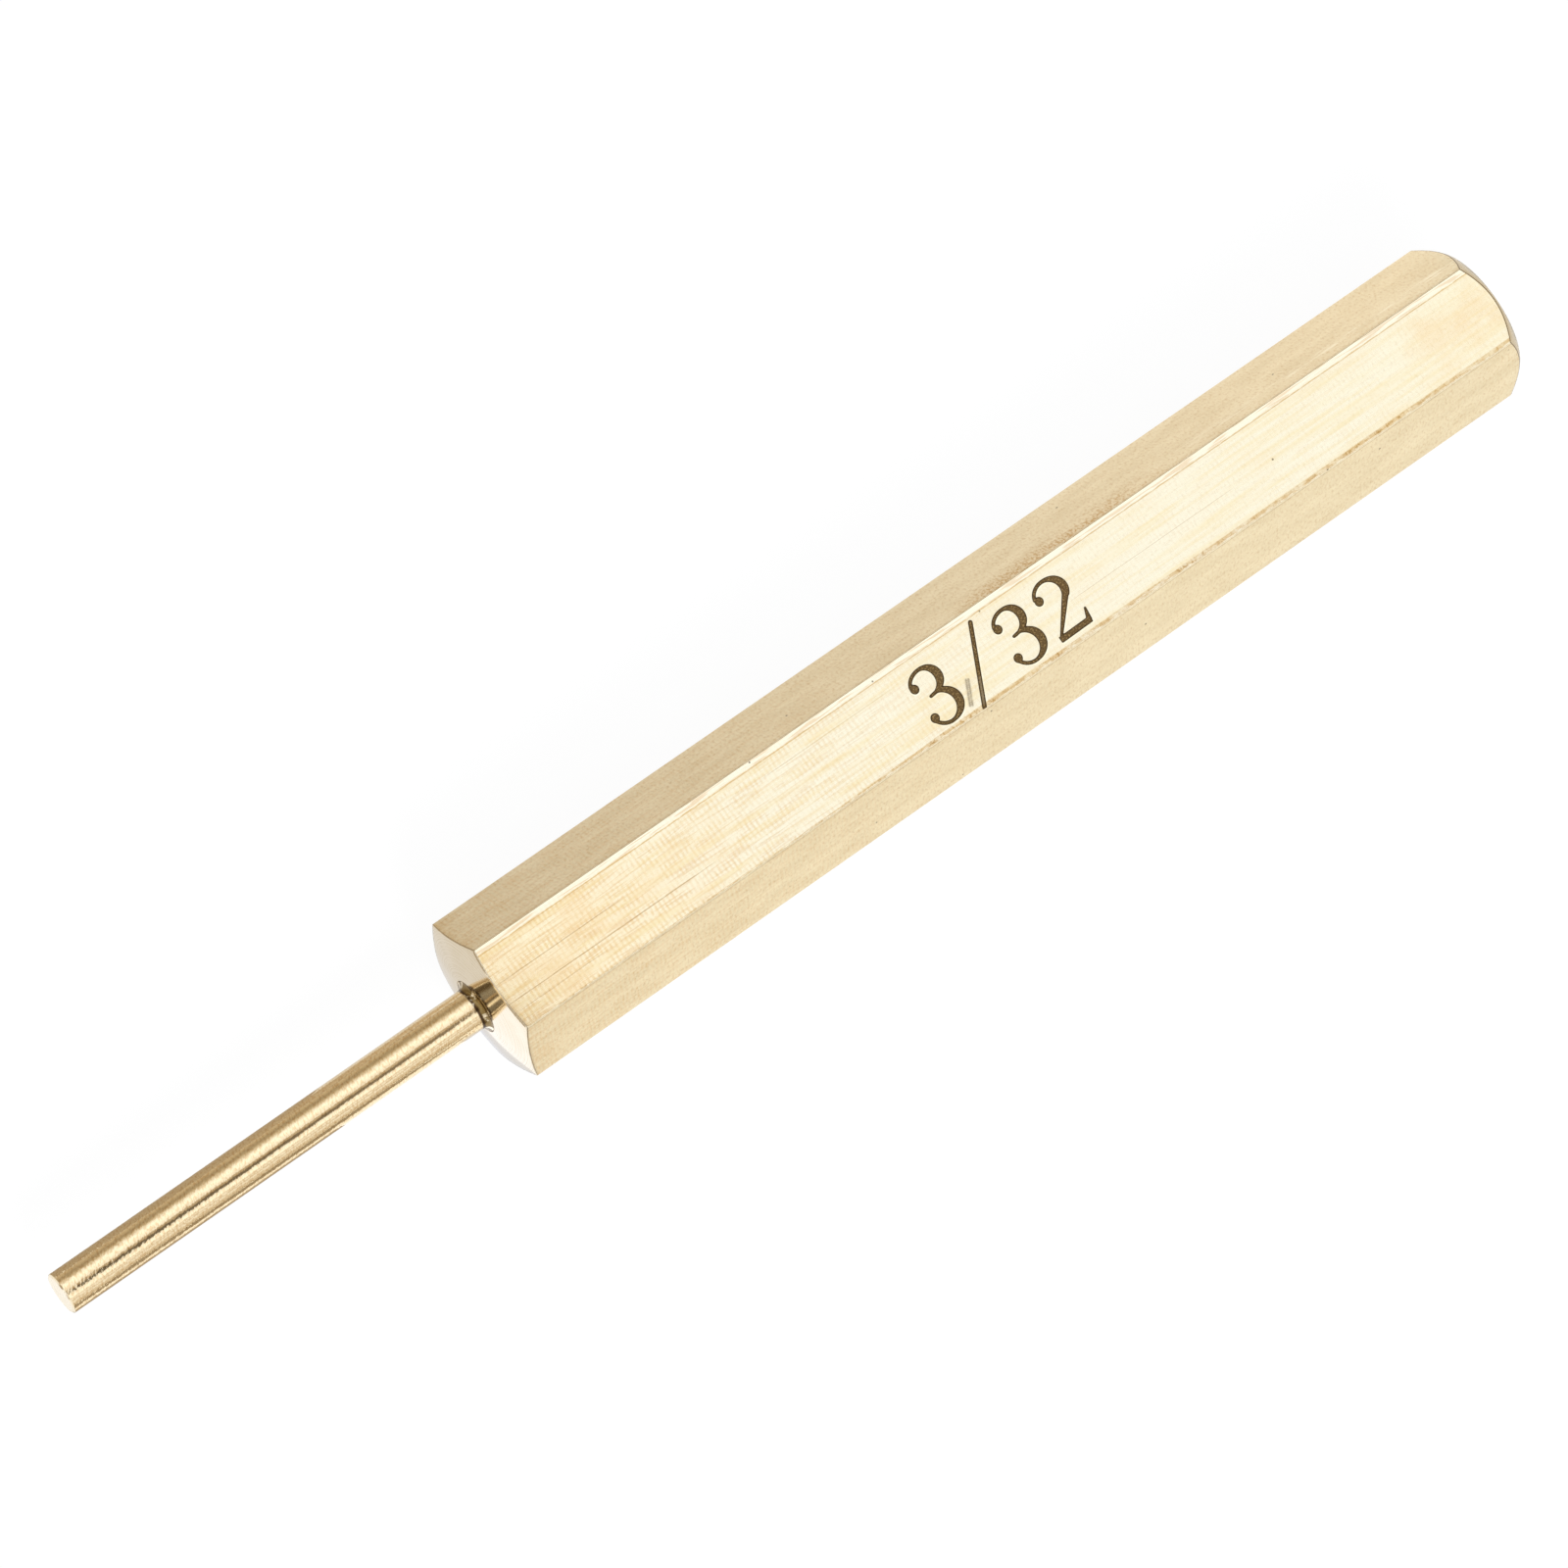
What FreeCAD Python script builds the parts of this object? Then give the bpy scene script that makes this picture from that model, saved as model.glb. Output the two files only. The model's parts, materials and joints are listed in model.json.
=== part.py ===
# Pin punch: a hexagonal brass body with a slim round pin pressed into its front end.
#
# The punch lies on one flat of its body, as a hex bar does on a bench. X runs along it with the
# tip at -X and the struck end at +X, Z points up, and the origin is on the surface under the
# middle of its length. All lengths are in millimetres.

import FreeCAD, Part
import math
import os
import Sketcher

# Driving dimensions: name, value, what it measures
SIZES = [
    ("hex_across_flats", 8.0, "body, from one flat to the opposite flat"),
    ("body_length", 65.5, "body, from the crown of its front end to the struck face"),
    ("corner_radius", 0.1, "the drawn bar's six long corners"),
    ("front_crown_radius", 17.0, "front end, turned to a shallow dome"),
    ("struck_face_diameter", 7.6, "flat face that the hammer meets"),
    ("struck_chamfer_angle", 45.0, "chamfer round that face, degrees from the axis"),
    ("pin_diameter", 2.28, "working length of the pin"),
    ("pin_length", 25.4, "pin that stands out of the body, crown to tip"),
    ("tip_edge_break", 0.08, "chamfer round the pin's flat tip"),
    ("root_fillet", 0.36, "flare from the pin's working length out to its tang"),
    ("tang_length", 10.0, "pin inside the body, crown to the tang's end"),
    ("tang_lead", 0.25, "lead-in chamfer on the tang's end"),
    ("bore_run_out", 0.5, "bore left empty past the tang, before its drill point"),
    ("drill_point_angle", 118.0, "cone at the bottom of the bore, degrees"),
]

doc = FreeCAD.newDocument("pin_punch")
sizes = doc.addObject("Spreadsheet::Sheet", "sizes")
for row, (alias, value, note) in enumerate(SIZES, start=1):
    sizes.set(f"A{row}", alias)
    sizes.set(f"B{row}", str(value))
    sizes.set(f"C{row}", note)
    sizes.setAlias(f"B{row}", alias)
doc.recompute()

# Sizes that follow from the driving ones, written once as expressions
CORNER_REACH = "(sizes.hex_across_flats / sqrt(3))"
CLEAR_OF_CORNERS = "(sizes.hex_across_flats * 0.7)"
CLEAR_OF_END = "(sizes.hex_across_flats * 0.25)"
PIN_RADIUS = "(sizes.pin_diameter / 2)"
TANG_RADIUS = "(sizes.pin_diameter / 2 + sizes.root_fillet)"
BORE_DEPTH = "(sizes.tang_length + sizes.bore_run_out)"
# the crown falls back this far at the bore's mouth, and this far where its cut leaves the bar
MOUTH_DROP = f"(sizes.front_crown_radius - sqrt(sizes.front_crown_radius^2 - {TANG_RADIUS}^2))"
CROWN_DROP = f"(sizes.front_crown_radius - sqrt(sizes.front_crown_radius^2 - {CLEAR_OF_CORNERS}^2))"
# half way from the tip to the struck face, from the crown
MIDDLE = "((sizes.body_length - sizes.pin_length) / 2)"

# Sketch references: the origin point, the axis along the punch, and the ends of an edge
ORIGIN = (-1, 1)
H_AXIS = -1
START, END, CENTRE = range(1, 4)


def size_of(expression):
    """The number an expression stands for, for a sketch's first positions."""
    return float(sizes.evalExpression(expression))


def new_body(label):
    body = doc.addObject("PartDesign::Body", label)
    body.Label = label
    body.setExpression("Placement.Base.x", f"-{MIDDLE}")
    body.setExpression("Placement.Base.z", "sizes.hex_across_flats / 2")
    return body


def new_sketch(body, label, plane_role):
    """A sketch on one of the body's own origin planes."""
    plane = next(item for item in body.Origin.OriginFeatures if item.Role == plane_role)
    sketch = body.newObject("Sketcher::SketchObject", label)
    sketch.AttachmentSupport = [(plane, "")]
    sketch.MapMode = "FlatFace"
    return sketch


def draw_chain(sketch, points):
    """Closed chain of straight lines through the points, joined end to end."""
    count = len(points)
    vectors = [FreeCAD.Vector(x, y, 0) for x, y in points]
    for i in range(count):
        sketch.addGeometry(Part.LineSegment(vectors[i], vectors[(i + 1) % count]), False)
    for i in range(count):
        sketch.addConstraint(Sketcher.Constraint("Coincident", i, END, (i + 1) % count, START))


def dimension(sketch, name, expression, kind, *references):
    """A named dimension of the sketch, bound to an expression."""
    index = sketch.addConstraint(Sketcher.Constraint(kind, *references, size_of(expression)))
    sketch.renameConstraint(index, name)
    sketch.setExpression(f"Constraints.{name}", expression)


def revolve(body, kind, label, sketch):
    """Revolution or groove of a sketch, a full turn about the punch's own axis."""
    feature = body.newObject(f"PartDesign::{kind}", label)
    feature.Profile = sketch
    feature.ReferenceAxis = (sketch, ["H_Axis"])
    feature.Angle = 360.0
    sketch.Visibility = False
    return feature


def draw_hex_section(body):
    """The bar's hexagon, with a corner on each side and a flat above and below."""
    sketch = new_sketch(body, "hex_section", "YZ_Plane")
    reach = size_of(CORNER_REACH)
    turns = [math.radians(60 * i) for i in range(6)]
    draw_chain(sketch, [(reach * math.cos(turn), reach * math.sin(turn)) for turn in turns])
    circle = sketch.addGeometry(
        Part.Circle(FreeCAD.Vector(0, 0, 0), FreeCAD.Vector(0, 0, 1), reach), True
    )
    sketch.addConstraint(Sketcher.Constraint("Coincident", circle, CENTRE, *ORIGIN))
    for side in range(6):
        sketch.addConstraint(Sketcher.Constraint("PointOnObject", side, START, circle))
    for side in range(1, 6):
        sketch.addConstraint(Sketcher.Constraint("Equal", 0, side))
    sketch.addConstraint(Sketcher.Constraint("PointOnObject", 0, START, H_AXIS))
    dimension(sketch, "corner_reach", CORNER_REACH, "Radius", circle)
    return sketch


def draw_front_waste(body):
    """What the lathe takes off the front: all that lies ahead of the crown's arc."""
    sketch = new_sketch(body, "front_waste", "XZ_Plane")
    radius = size_of("sizes.front_crown_radius")
    outside = size_of(CLEAR_OF_CORNERS)
    ahead = -size_of(CLEAR_OF_END)
    drop = size_of(CROWN_DROP)
    corners = [(drop, outside), (ahead, outside), (ahead, 0.0), (0.0, 0.0)]
    for (x0, y0), (x1, y1) in zip(corners, corners[1:]):
        sketch.addGeometry(Part.LineSegment(FreeCAD.Vector(x0, y0, 0), FreeCAD.Vector(x1, y1, 0)), False)
    top, front, axis = 0, 1, 2
    circle = Part.Circle(FreeCAD.Vector(radius, 0, 0), FreeCAD.Vector(0, 0, 1), radius)
    swing = math.asin(outside / radius)
    crown = sketch.addGeometry(Part.ArcOfCircle(circle, math.pi - swing, math.pi), False)
    sketch.addConstraint(
        [
            Sketcher.Constraint("Coincident", top, END, front, START),
            Sketcher.Constraint("Coincident", front, END, axis, START),
            Sketcher.Constraint("Coincident", axis, END, crown, END),
            Sketcher.Constraint("Coincident", crown, START, top, START),
            Sketcher.Constraint("Horizontal", top),
            Sketcher.Constraint("Vertical", front),
            Sketcher.Constraint("PointOnObject", axis, START, H_AXIS),
            Sketcher.Constraint("Coincident", axis, END, *ORIGIN),
            Sketcher.Constraint("PointOnObject", crown, CENTRE, H_AXIS),
        ]
    )
    dimension(sketch, "crown_radius", "sizes.front_crown_radius", "Radius", crown)
    dimension(sketch, "outside", CLEAR_OF_CORNERS, "DistanceY", *ORIGIN, top, START)
    dimension(sketch, "ahead", CLEAR_OF_END, "DistanceX", axis, START, *ORIGIN)
    return sketch


def draw_struck_waste(body):
    """What the lathe takes off the struck end: the corners outside the chamfer's cone."""
    sketch = new_sketch(body, "struck_waste", "XZ_Plane")
    length = size_of("sizes.body_length")
    face = size_of("sizes.struck_face_diameter / 2")
    outside = size_of(CLEAR_OF_CORNERS)
    past = length + size_of(CLEAR_OF_END)
    back = length - (outside - face) / math.tan(math.radians(size_of("sizes.struck_chamfer_angle")))
    draw_chain(sketch, [(length, face), (past, face), (past, outside), (back, outside)])
    inner, end, top, cone = range(4)
    sketch.addConstraint(
        [
            Sketcher.Constraint("Horizontal", inner),
            Sketcher.Constraint("Vertical", end),
            Sketcher.Constraint("Horizontal", top),
        ]
    )
    dimension(sketch, "face_at", "sizes.body_length", "DistanceX", *ORIGIN, inner, START)
    dimension(sketch, "face_radius", "sizes.struck_face_diameter / 2", "DistanceY", *ORIGIN, inner, START)
    dimension(sketch, "past_end", CLEAR_OF_END, "DistanceX", inner, START, inner, END)
    dimension(sketch, "outside", CLEAR_OF_CORNERS, "DistanceY", *ORIGIN, top, START)
    dimension(
        sketch,
        "cone_length",
        f"({CLEAR_OF_CORNERS} - sizes.struck_face_diameter / 2) / tan(sizes.struck_chamfer_angle * 1 deg)",
        "DistanceX", top, END, inner, START,
    )
    return sketch


def make_hex_body():
    """Drawn hex bar, crowned at the front, chamfered at the struck end and bored for the pin."""
    body = new_body("hex_body")

    bar = body.newObject("PartDesign::Pad", "bar")
    bar.Profile = draw_hex_section(body)
    bar.setExpression("Length", "sizes.body_length")
    doc.recompute()

    # the six long corners are the only edges as long as the bar
    long_edges = [
        f"Edge{i}"
        for i, edge in enumerate(bar.Shape.Edges, start=1)
        if abs(edge.Length - size_of("sizes.body_length")) < 1e-6
    ]
    corners = body.newObject("PartDesign::Fillet", "bar_corners")
    corners.Base = (bar, long_edges)
    corners.setExpression("Radius", "sizes.corner_radius")
    doc.recompute()

    revolve(body, "Groove", "front_crown", draw_front_waste(body))
    revolve(body, "Groove", "struck_chamfer", draw_struck_waste(body))
    doc.recompute()

    mouth = new_sketch(body, "bore_centre", "YZ_Plane")
    circle = mouth.addGeometry(
        Part.Circle(FreeCAD.Vector(0, 0, 0), FreeCAD.Vector(0, 0, 1), size_of(TANG_RADIUS)), False
    )
    mouth.addConstraint(Sketcher.Constraint("Coincident", circle, CENTRE, *ORIGIN))
    dimension(mouth, "bore_radius", TANG_RADIUS, "Radius", circle)
    doc.recompute()

    bore = body.newObject("PartDesign::Hole", "pin_bore")
    bore.Profile = mouth
    bore.Threaded = False
    bore.DepthType = "Dimension"
    bore.DrillPoint = "Angled"
    bore.Reversed = True
    bore.setExpression("Diameter", f"2 * {TANG_RADIUS}")
    bore.setExpression("Depth", BORE_DEPTH)
    bore.setExpression("DrillPointAngle", "sizes.drill_point_angle")
    doc.recompute()
    return body


def draw_pin_profile(body):
    """Half of the pin's outline above its axis: tip, working length, flare and tang."""
    sketch = new_sketch(body, "pin_profile", "XZ_Plane")
    tip = -size_of("sizes.pin_length")
    edge = size_of("sizes.tip_edge_break")
    slim = size_of(PIN_RADIUS)
    flare = size_of("sizes.root_fillet")
    stout = size_of(TANG_RADIUS)
    mouth = size_of(MOUTH_DROP)
    end = size_of("sizes.tang_length")
    lead = size_of("sizes.tang_lead")
    lines = [
        ((tip, 0.0), (tip, slim - edge)),
        ((tip, slim - edge), (tip + edge, slim)),
        ((tip + edge, slim), (mouth - flare, slim)),
        ((mouth, stout), (end - lead, stout)),
        ((end - lead, stout), (end, stout - lead)),
        ((end, stout - lead), (end, 0.0)),
        ((end, 0.0), (tip, 0.0)),
    ]
    for (x0, y0), (x1, y1) in lines:
        sketch.addGeometry(Part.LineSegment(FreeCAD.Vector(x0, y0, 0), FreeCAD.Vector(x1, y1, 0)), False)
    tip_face, tip_break, working, tang, tang_break, tang_face, axis = range(7)
    circle = Part.Circle(FreeCAD.Vector(mouth - flare, stout, 0), FreeCAD.Vector(0, 0, 1), flare)
    root = sketch.addGeometry(Part.ArcOfCircle(circle, math.radians(270), math.radians(360)), False)
    joins = [
        (tip_face, END, tip_break, START),
        (tip_break, END, working, START),
        (working, END, root, START),
        (root, END, tang, START),
        (tang, END, tang_break, START),
        (tang_break, END, tang_face, START),
        (tang_face, END, axis, START),
        (axis, END, tip_face, START),
    ]
    for join in joins:
        sketch.addConstraint(Sketcher.Constraint("Coincident", *join))
    sketch.addConstraint(
        [
            Sketcher.Constraint("Vertical", tip_face),
            Sketcher.Constraint("Horizontal", working),
            Sketcher.Constraint("Horizontal", tang),
            Sketcher.Constraint("Vertical", tang_face),
            Sketcher.Constraint("PointOnObject", axis, START, H_AXIS),
            Sketcher.Constraint("PointOnObject", axis, END, H_AXIS),
            Sketcher.Constraint("Horizontal", root, CENTRE, root, END),
            Sketcher.Constraint("Vertical", root, CENTRE, root, START),
        ]
    )
    dimension(sketch, "tip_at", "sizes.pin_length", "DistanceX", axis, END, *ORIGIN)
    dimension(sketch, "pin_radius", PIN_RADIUS, "DistanceY", *ORIGIN, working, START)
    dimension(sketch, "tip_break_x", "sizes.tip_edge_break", "DistanceX", tip_break, START, tip_break, END)
    dimension(sketch, "tip_break_y", "sizes.tip_edge_break", "DistanceY", tip_break, START, tip_break, END)
    dimension(sketch, "mouth_drop", MOUTH_DROP, "DistanceX", *ORIGIN, tang, START)
    dimension(sketch, "root_flare", "sizes.root_fillet", "Radius", root)
    dimension(sketch, "tang_end", "sizes.tang_length", "DistanceX", *ORIGIN, tang_face, END)
    dimension(sketch, "tang_lead_x", "sizes.tang_lead", "DistanceX", tang_break, START, tang_break, END)
    dimension(sketch, "tang_lead_y", "sizes.tang_lead", "DistanceY", tang_break, END, tang_break, START)
    return sketch


def make_punch_pin():
    """Turned pin: flat tip, straight working length, flared root and the tang that is pressed in."""
    body = new_body("punch_pin")
    revolve(body, "Revolution", "turned_pin", draw_pin_profile(body))
    doc.recompute()
    return body


def check_document():
    """Stops before anything is written if a feature failed or cut nothing."""
    for item in doc.Objects:
        if "Invalid" in item.State or "Error" in item.State:
            raise RuntimeError(f"{item.Label} failed: {item.State}")
        if item.isDerivedFrom("Sketcher::SketchObject") and item.solve() != 0:
            raise RuntimeError(f"{item.Label} can't be solved")
    cuts = ["bar", "bar_corners", "front_crown", "struck_chamfer", "pin_bore"]
    volumes = [doc.getObject(name).Shape.Volume for name in cuts]
    for name, before, after in zip(cuts[1:], volumes, volumes[1:]):
        if not after < before - 1e-4:
            raise RuntimeError(f"{name} cut nothing")
        print(f"{name} takes off {before - after:.4f} mm3")


pieces = [make_hex_body(), make_punch_pin()]
doc.recompute()
check_document()

for piece in pieces:
    if piece.Shape.isNull() or not piece.Shape.isValid() or len(piece.Shape.Solids) != 1:
        raise RuntimeError(f"{piece.Label} is not one valid solid")

os.makedirs("parts", exist_ok=True)
for piece in pieces:
    piece.Shape.exportStep(f"parts/{piece.Label}.step")
    box = piece.Shape.optimalBoundingBox()
    print(
        f"{piece.Label}: {piece.Shape.Volume:.3f} mm3, X {box.XMin:.3f} to {box.XMax:.3f}, "
        f"Y {box.YMin:.3f} to {box.YMax:.3f}, Z {box.ZMin:.3f} to {box.ZMax:.3f}"
    )
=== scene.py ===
import json
import math

import bpy
import numpy as np
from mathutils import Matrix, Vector

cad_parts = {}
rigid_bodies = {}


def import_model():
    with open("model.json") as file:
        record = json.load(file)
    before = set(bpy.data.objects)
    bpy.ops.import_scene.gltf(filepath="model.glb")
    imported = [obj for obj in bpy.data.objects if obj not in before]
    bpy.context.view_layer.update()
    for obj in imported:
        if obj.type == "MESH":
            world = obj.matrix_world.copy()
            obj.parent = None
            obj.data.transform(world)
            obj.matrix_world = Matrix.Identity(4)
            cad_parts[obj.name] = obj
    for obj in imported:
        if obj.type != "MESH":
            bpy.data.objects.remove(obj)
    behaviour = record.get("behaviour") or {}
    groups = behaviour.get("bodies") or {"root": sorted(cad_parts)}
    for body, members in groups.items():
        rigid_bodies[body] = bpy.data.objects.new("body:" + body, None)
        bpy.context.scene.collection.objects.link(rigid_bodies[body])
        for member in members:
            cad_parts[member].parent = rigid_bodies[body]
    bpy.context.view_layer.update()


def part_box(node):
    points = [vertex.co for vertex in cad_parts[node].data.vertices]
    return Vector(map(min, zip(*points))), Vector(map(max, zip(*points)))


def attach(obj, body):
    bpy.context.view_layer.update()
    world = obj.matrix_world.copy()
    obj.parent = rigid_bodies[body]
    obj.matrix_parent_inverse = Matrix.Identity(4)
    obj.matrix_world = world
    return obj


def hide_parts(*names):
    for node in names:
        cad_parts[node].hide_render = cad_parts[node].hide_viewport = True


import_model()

mm = 0.001
bodyLow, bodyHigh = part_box("hex_body")
pinLow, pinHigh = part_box("punch_pin")
acrossFlats = bodyHigh.z - bodyLow.z
axisHeight = (bodyHigh.z + bodyLow.z) / 2
flatWidth = acrossFlats / math.sqrt(3)
tangRadius = pinHigh.z - axisHeight
print(f"frame loaded: bar {acrossFlats / mm:.2f} mm across flats, pin tip at {pinLow.x / mm:.2f} mm")


def linkNew(piece):
    bpy.context.scene.collection.objects.link(piece)
    return piece


def smoothStep(value, low, high):
    # 0 below low, 1 above high, and an S-shaped rise between them
    share = np.clip((value - low) / (high - low), 0.0, 1.0)
    return share * share * (3.0 - 2.0 * share)


def spread(start, end, step):
    # even places from start to end, about a step apart
    return np.linspace(start, end, max(2, int(round(abs(end - start) / step)) + 1))


def closedSurface(name, points, wrapUv, rowMaterial, poles, values, sharpAngle=35):
    # points[row, column] is a tube of rings: neighbours join into quads, the last column meets
    # the first, and each end closes on its pole. wrapUv has one more column than points.
    rows, columns = points.shape[:2]
    ring = np.arange(rows * columns).reshape(rows, columns)
    here, there = ring, np.roll(ring, -1, axis=1)
    quads = np.stack([here[:-1], there[:-1], there[1:], here[1:]], -1).reshape(-1, 4)
    firstPole, lastPole = rows * columns, rows * columns + 1
    firstFan = np.stack([np.full(columns, firstPole), there[0], here[0]], -1)
    lastFan = np.stack([here[-1], there[-1], np.full(columns, lastPole)], -1)
    corners = np.concatenate([quads.ravel(), firstFan.ravel(), lastFan.ravel()])
    sizes = np.concatenate([np.full(len(quads), 4), np.full(2 * columns, 3)])

    left, right = wrapUv[:, :-1], wrapUv[:, 1:]
    quadUv = np.stack([left[:-1], right[:-1], right[1:], left[1:]], 2).reshape(-1, 2)
    firstUv = np.stack([left[0], right[0], left[0]], 1).reshape(-1, 2)
    lastUv = np.stack([left[-1], right[-1], left[-1]], 1).reshape(-1, 2)

    mesh = bpy.data.meshes.new(name)
    mesh.vertices.add(rows * columns + 2)
    places = np.concatenate([points.reshape(-1, 3), poles])
    mesh.vertices.foreach_set("co", places.ravel().astype(np.float32))
    mesh.loops.add(len(corners))
    mesh.loops.foreach_set("vertex_index", corners.astype(np.int32))
    mesh.polygons.add(len(sizes))
    mesh.polygons.foreach_set("loop_start", (np.cumsum(sizes) - sizes).astype(np.int32))
    faceMaterial = np.concatenate([
        np.repeat(rowMaterial[:-1], columns),
        np.full(columns, rowMaterial[0]),
        np.full(columns, rowMaterial[-2]),
    ])
    mesh.polygons.foreach_set("material_index", faceMaterial.astype(np.int32))
    mesh.update(calc_edges=True)
    skin = mesh.uv_layers.new(name="skin")
    skin.data.foreach_set("uv", np.concatenate([quadUv, firstUv, lastUv]).ravel().astype(np.float32))
    for label, array in values.items():
        layer = mesh.attributes.new(label, "FLOAT", "POINT")
        layer.data.foreach_set("value", np.append(array.ravel(), [0.0, 0.0]).astype(np.float32))
    mesh.validate()
    mesh.shade_smooth()
    mesh.set_sharp_from_angle(angle=math.radians(sharpAngle))
    return linkNew(bpy.data.objects.new(name, mesh))


def tone(code):
    # a hex colour as the linear RGBA that nodes take
    parts = [int(code[i:i + 2], 16) / 255 for i in (1, 3, 5)]
    return [c / 12.92 if c <= 0.04045 else ((c + 0.055) / 1.055) ** 2.4 for c in parts] + [1.0]


def emptyTree(owner):
    owner.use_nodes = True
    owner.node_tree.nodes.clear()
    return owner.node_tree


def add(tree, kind, inputs=None, **options):
    # one node: options are its own settings, inputs are plain values or other nodes' outputs
    node = tree.nodes.new("ShaderNode" + kind)
    for key, value in options.items():
        setattr(node, key, value)
    for key, value in (inputs or {}).items():
        if isinstance(value, bpy.types.NodeSocket):
            tree.links.new(value, node.inputs[key])
        else:
            node.inputs[key].default_value = value
    return node


def calc(tree, operation, a, b=0.0, c=0.0):
    return add(tree, "Math", {0: a, 1: b, 2: c}, operation=operation).outputs[0]


def times(tree, *factors):
    result = factors[0]
    for factor in factors[1:]:
        result = calc(tree, "MULTIPLY", result, factor)
    return result


def weighted(tree, *pairs):
    # the sum of each value times its weight
    total = 0.0
    for value, weight in pairs:
        total = calc(tree, "MULTIPLY_ADD", value, weight, total)
    return total


def ramp(tree, value, low, high, toLow=0.0, toHigh=1.0, smooth=True):
    # toLow up to low, toHigh from high on, and an S-shaped or a straight way between them
    kind = "SMOOTHSTEP" if smooth else "LINEAR"
    inputs = {"Value": value, "From Min": low, "From Max": high, "To Min": toLow, "To Max": toHigh}
    return add(tree, "MapRange", inputs, interpolation_type=kind).outputs["Result"]


def inBand(tree, value, low, high, soft):
    # 1 between low and high, with soft edges
    rise = ramp(tree, value, low - soft, low + soft)
    fall = ramp(tree, value, high - soft, high + soft, 1.0, 0.0)
    return times(tree, rise, fall)


def stretch(tree, vector, factors):
    return add(tree, "VectorMath", {0: vector, 1: factors}, operation="MULTIPLY").outputs[0]


def noise(tree, vector, scale, detail=2.0, roughness=0.5):
    inputs = {"Vector": vector, "Scale": scale, "Detail": detail, "Roughness": roughness}
    return add(tree, "TexNoise", inputs).outputs["Fac"]


def attribute(tree, name):
    return add(tree, "Attribute", attribute_name=name).outputs["Fac"]


def blendColour(tree, share, first, second):
    return add(tree, "Mix", {0: share, 6: first, 7: second}, data_type="RGBA").outputs[2]


def coat(tree, colour, share, code):
    # lays a hex colour over another, by a share from 0 to 1
    return blendColour(tree, share, colour, tone(code))


def newGroup(name, inputs, output):
    # an empty shader group: it reads a vector and numbers, {input: default}, and gives one number
    group = bpy.data.node_groups.new(name, "ShaderNodeTree")
    group.interface.new_socket("Vector", in_out="INPUT", socket_type="NodeSocketVector")
    for label, default in inputs.items():
        socket = group.interface.new_socket(label, in_out="INPUT", socket_type="NodeSocketFloat")
        socket.default_value = default
    group.interface.new_socket(output, in_out="OUTPUT", socket_type="NodeSocketFloat")
    return group, group.nodes.new("NodeGroupInput").outputs, group.nodes.new("NodeGroupOutput").inputs[0]


def place(tree, group, vector, values):
    # a group in a material: the point it reads, then the material's own values in the group's order
    return add(tree, "Group", dict(enumerate((vector, *values))), node_tree=group).outputs[0]


def makeStreaks():
    # noise that is drawn out along the first coordinate
    group, into, out = newGroup("streaks", {"Along": 0.2, "Across": 8.0, "Detail": 2.0}, "Value")
    squeeze = add(group, "CombineXYZ", {0: into["Along"], 1: into["Across"], 2: into["Across"]})
    drawnOut = stretch(group, into["Vector"], squeeze.outputs[0])
    group.links.new(noise(group, drawnOut, 1.0, into["Detail"], 0.6), out)
    return group


def makeChatter():
    # fine ripples square to the first coordinate, one to each pitch, slightly wavy
    group, into, out = newGroup("chatter", {"Pitch": 0.28, "Waviness": 0.35}, "Value")
    along = add(group, "SeparateXYZ", {0: into["Vector"]}).outputs[0]
    sway = times(group, noise(group, into["Vector"], 0.9, 1.0), into["Waviness"], 8.0)
    turns = calc(group, "ADD", calc(group, "DIVIDE", along, into["Pitch"]), sway)
    wave = calc(group, "SINE", times(group, turns, 2 * math.pi))
    group.links.new(calc(group, "MULTIPLY_ADD", wave, 0.5, 0.5), out)
    return group


def makeSpecks():
    # round soft-edged specks in a share of the cells
    group, into, out = newGroup("specks", {"Scale": 1.0, "Share": 0.2, "Radius": 0.1}, "Mask")
    cells = add(group, "TexVoronoi", {"Vector": into["Vector"], "Scale": into["Scale"]})
    lot = add(group, "SeparateColor", {0: cells.outputs["Color"]}).outputs[0]
    chosen = calc(group, "LESS_THAN", lot, into["Share"])
    near = calc(group, "DIVIDE", cells.outputs["Distance"], into["Radius"])
    group.links.new(times(group, ramp(group, near, 0.5, 1.0, 1.0, 0.0), chosen), out)
    return group


def makeStains():
    # broad cloudy patches, as of warmth or tarnish
    group, into, out = newGroup("stains", {"Scale": 0.4, "Level": 0.5, "Softness": 0.2}, "Mask")
    clouds = noise(group, into["Vector"], into["Scale"], 4.0)
    low = calc(group, "SUBTRACT", into["Level"], into["Softness"])
    high = calc(group, "ADD", into["Level"], into["Softness"])
    group.links.new(ramp(group, clouds, low, high), out)
    return group


streaks, chatter, specks, stains = makeStreaks(), makeChatter(), makeSpecks(), makeStains()


def newMetal(name):
    material = bpy.data.materials.new(name)
    tree = emptyTree(material)
    shader = add(tree, "BsdfPrincipled", {"Metallic": 1.0})
    tree.links.new(shader.outputs[0], add(tree, "OutputMaterial").inputs[0])
    return material, tree, shader


def finishMetal(tree, shader, colour, roughness, height, bumpHeight):
    tree.links.new(colour, shader.inputs["Base Color"])
    tree.links.new(roughness, shader.inputs["Roughness"])
    bump = add(tree, "Bump", {"Height": height, "Strength": 1.0, "Distance": bumpHeight})
    tree.links.new(bump.outputs[0], shader.inputs["Normal"])


def skinPoint(tree):
    # the piece's own map in millimetres: along the punch, then round its skin
    return add(tree, "UVMap", uv_map="skin").outputs[0]


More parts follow.
